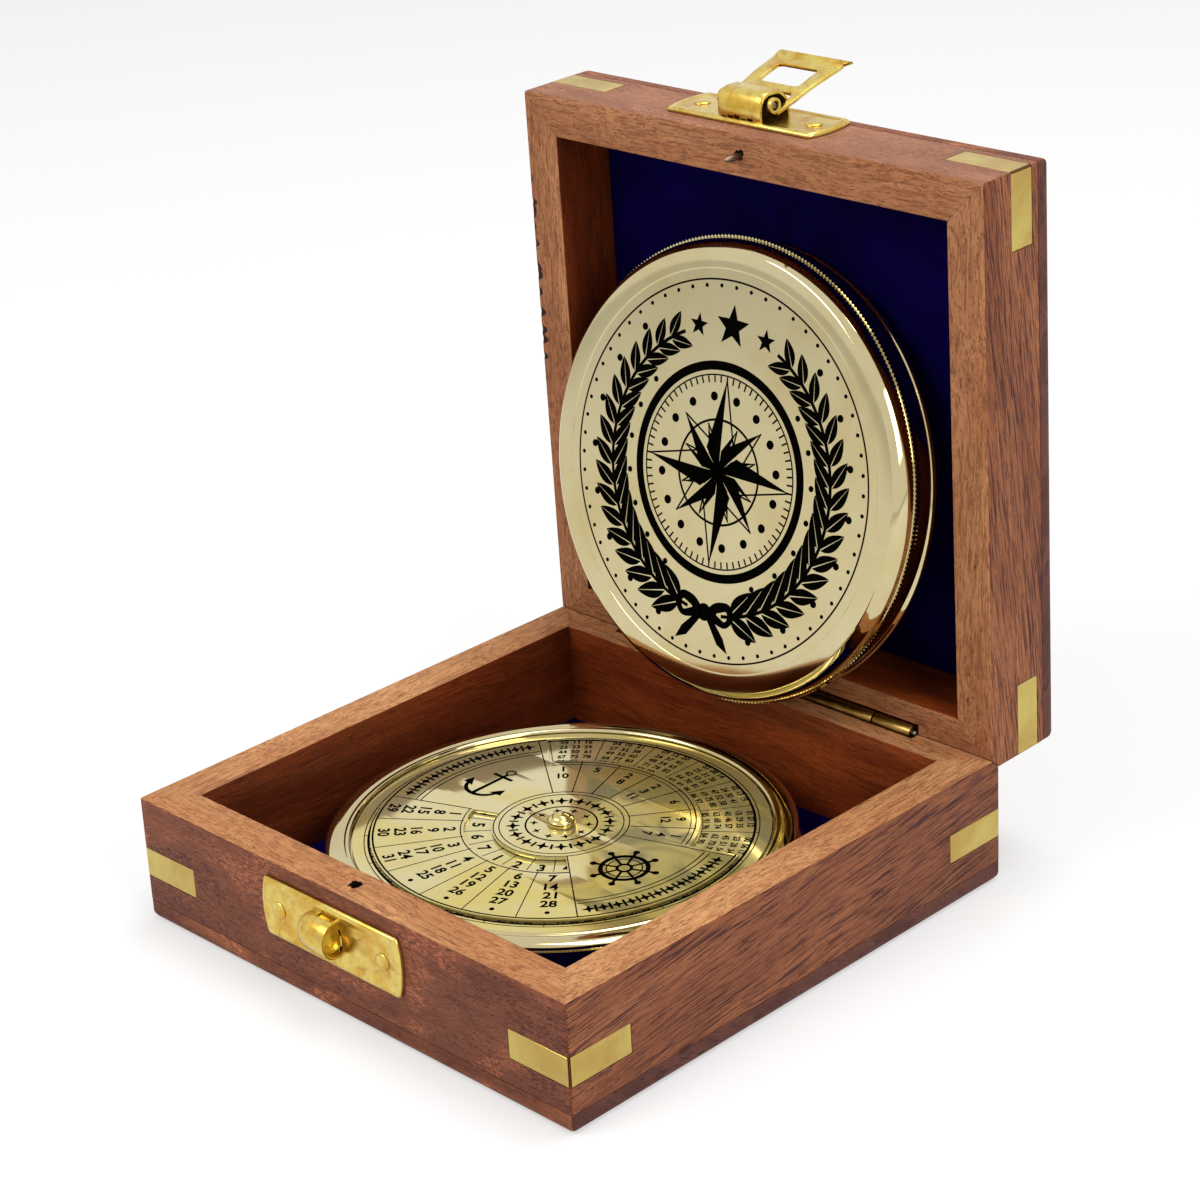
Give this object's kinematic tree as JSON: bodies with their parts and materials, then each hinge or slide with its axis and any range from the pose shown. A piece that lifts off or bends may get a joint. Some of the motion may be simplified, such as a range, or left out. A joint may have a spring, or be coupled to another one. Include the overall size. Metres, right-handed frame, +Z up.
{
  "type": "calendar compass",
  "caption": "Hinged wooden box with brass corner inlays and a hasp latch, holding round brass compasses, each with a turning calendar disc, a needle under glass and a knurled screw lid.",
  "frame": {"origin": "centre of the box's underside", "axes": "+Z up, -Y towards the latch side (front), +X to the right seen from the front"},
  "size_m": [0.096, 0.1185, 0.1233],
  "materials": {
    "stained_wood": "satin",
    "blue_velvet": "pile",
    "inlay_brass": "satin",
    "latch_brass": "polished",
    "hinge_brass": "worn",
    "pin_steel": "bright",
    "compass_brass": "mirror polish, printed in black",
    "dial_card": "matt",
    "needle_steel": "blued",
    "clear_glass": "clear"
  },
  "bodies": {
    "box_base": {"base_bottom_panel": "stained_wood", "base_front_wall": "stained_wood", "base_rear_wall": "stained_wood", "base_left_wall": "stained_wood", "base_right_wall": "stained_wood", "base_velvet_lining": "blue_velvet", "base_inlay_front_left": "inlay_brass", "base_inlay_front_right": "inlay_brass", "base_inlay_right_front": "inlay_brass", "base_inlay_right_rear": "inlay_brass", "base_inlay_rear_right": "inlay_brass", "base_inlay_rear_left": "inlay_brass", "base_inlay_left_rear": "inlay_brass", "base_inlay_left_front": "inlay_brass", "base_hinge_leaf": "hinge_brass", "hinge_pin": "pin_steel", "base_latch_plate": "latch_brass", "base_latch_nail_left": "latch_brass", "base_latch_nail_right": "latch_brass"},
    "box_lid": {"lid_top_panel": "stained_wood", "lid_front_wall": "stained_wood", "lid_rear_wall": "stained_wood", "lid_left_wall": "stained_wood", "lid_right_wall": "stained_wood", "lid_velvet_lining": "blue_velvet", "lid_inlay_front_left": "inlay_brass", "lid_inlay_front_right": "inlay_brass", "lid_inlay_right_front": "inlay_brass", "lid_inlay_right_rear": "inlay_brass", "lid_inlay_rear_right": "inlay_brass", "lid_inlay_rear_left": "inlay_brass", "lid_inlay_left_rear": "inlay_brass", "lid_inlay_left_front": "inlay_brass", "lid_hinge_leaf": "hinge_brass", "lid_latch_plate": "latch_brass", "lid_latch_nail_left": "latch_brass", "lid_latch_nail_right": "latch_brass", "latch_pin": "pin_steel", "alignment_pin": "pin_steel"},
    "hasp": {"latch_hasp": "latch_brass"},
    "lying_case": {"lying_bowl": "compass_brass", "lying_calendar_plate": "compass_brass", "lying_disc_rivet": "compass_brass", "lying_compass_card": "dial_card", "lying_pivot_pin": "pin_steel", "lying_glass": "clear_glass", "lying_glass_ring": "compass_brass"},
    "lying_date_disc": {"lying_calendar_disc": "compass_brass"},
    "lying_magnet_needle": {"lying_needle": "needle_steel"},
    "lying_cover": {"lying_screw_lid": "compass_brass"},
    "standing_case": {"standing_bowl": "compass_brass", "standing_calendar_plate": "compass_brass", "standing_disc_rivet": "compass_brass", "standing_compass_card": "dial_card", "standing_pivot_pin": "pin_steel", "standing_glass": "clear_glass", "standing_glass_ring": "compass_brass"},
    "standing_date_disc": {"standing_calendar_disc": "compass_brass"},
    "standing_magnet_needle": {"standing_needle": "needle_steel"},
    "standing_cover": {"standing_screw_lid": "compass_brass"}
  },
  "joints": [
    {"name": "lid_hinge", "type": "hinge", "parent": "box_base", "child": "box_lid", "pos_m": [0, 0.04625, 0.0215], "axis": [1, 0, 0], "range_deg": [0, 89]},
    {"name": "hasp_hinge", "type": "hinge", "parent": "box_lid", "child": "hasp", "pos_m": [-0.0034, 0.05105, 0.11905], "axis": [1, 0, 0], "range_deg": [-8, 163]},
    {"name": "lying_lift", "type": "slide", "parent": "box_base", "child": "lying_case", "axis": [0, 0, -1], "range_m": [-0.007, 0]},
    {"name": "lying_disc_turn", "type": "hinge", "parent": "lying_case", "child": "lying_date_disc", "pos_m": [0, -0.0019, 0.0137], "axis": [0, 0, 1], "continuous": true},
    {"name": "lying_needle_turn", "type": "hinge", "parent": "lying_case", "child": "lying_magnet_needle", "pos_m": [0, -0.0019, 0.0085], "axis": [0, 0, 1], "continuous": true},
    {"name": "lying_cover_turn", "type": "hinge", "parent": "lying_case", "child": "lying_cover", "pos_m": [0, -0.0019, 0.0056], "axis": [0, 0, -1], "range_deg": [0, 360]},
    {"name": "standing_tip", "type": "hinge", "parent": "box_base", "child": "standing_case", "pos_m": [-0.0024, 0.03743, 0.02186], "axis": [1, 0, 0], "range_deg": [0, 101.4]},
    {"name": "standing_disc_turn", "type": "hinge", "parent": "standing_case", "child": "standing_date_disc", "pos_m": [-0.0024, 0.04909, 0.0582], "axis": [0, 0.9803, -0.1977], "continuous": true},
    {"name": "standing_needle_turn", "type": "hinge", "parent": "standing_case", "child": "standing_magnet_needle", "pos_m": [-0.0024, 0.04399, 0.05923], "axis": [0, 0.9803, -0.1977], "continuous": true},
    {"name": "standing_cover_off", "type": "slide", "parent": "standing_case", "child": "standing_cover", "axis": [0, 0.9803, -0.1977], "range_m": [-0.015, 0]}
  ],
  "couplings": [
    {"joint": "standing_tip", "follows": "lid_hinge", "ratio": 1.1393}
  ]
}
